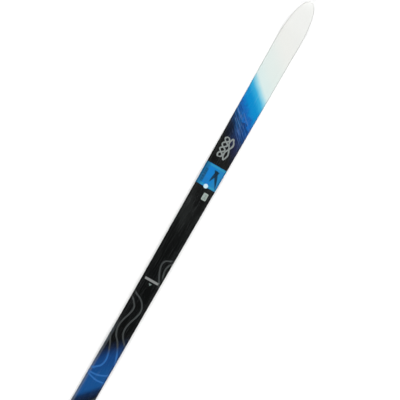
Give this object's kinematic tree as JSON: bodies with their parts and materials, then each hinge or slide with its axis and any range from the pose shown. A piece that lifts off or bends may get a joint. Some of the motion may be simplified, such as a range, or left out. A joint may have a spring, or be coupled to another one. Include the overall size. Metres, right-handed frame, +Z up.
{
  "type": "cross country ski",
  "caption": "Slim touring ski with upturned tip, arched middle, guide groove and climbing skin strips below, laminated wood core, cap top sheet and tail protector.",
  "frame": {"origin": "on the ground, under the middle of the ski's length and width", "axes": "+X towards the tip, +Y to the skier's left, +Z up"},
  "size_m": [1.5, 0.06, 0.055],
  "materials": {
    "base_plastic": "satin",
    "glass_laminate": "satin",
    "light_wood": "matte",
    "hard_wood": "matte",
    "edge_plastic": "satin",
    "spacer_plastic": "satin",
    "plate_laminate": "matte",
    "top_print": "glossy",
    "mohair": "matte",
    "adhesive": "matte",
    "band_film": "glossy",
    "paper": "matte"
  },
  "bodies": {
    "root": {"running_base": "base_plastic", "lower_laminate": "glass_laminate", "upper_laminate": "glass_laminate", "tip_spacer": "spacer_plastic", "tail_spacer": "spacer_plastic", "core_stringer_middle": "light_wood", "mounting_plate": "plate_laminate", "top_sheet": "top_print", "tail_protector": "edge_plastic", "label_band": "band_film", "round_seal": "paper", "code_label": "paper", "skin_adhesive_left": "adhesive", "skin_strip_left": "mohair", "sidewall_left": "edge_plastic", "core_stringer_left_inner": "hard_wood", "core_stringer_left_second": "light_wood", "core_stringer_left_outer": "hard_wood", "skin_adhesive_right": "adhesive", "skin_strip_right": "mohair", "sidewall_right": "edge_plastic", "core_stringer_right_inner": "hard_wood", "core_stringer_right_second": "light_wood", "core_stringer_right_outer": "hard_wood"}
  },
  "joints": []
}
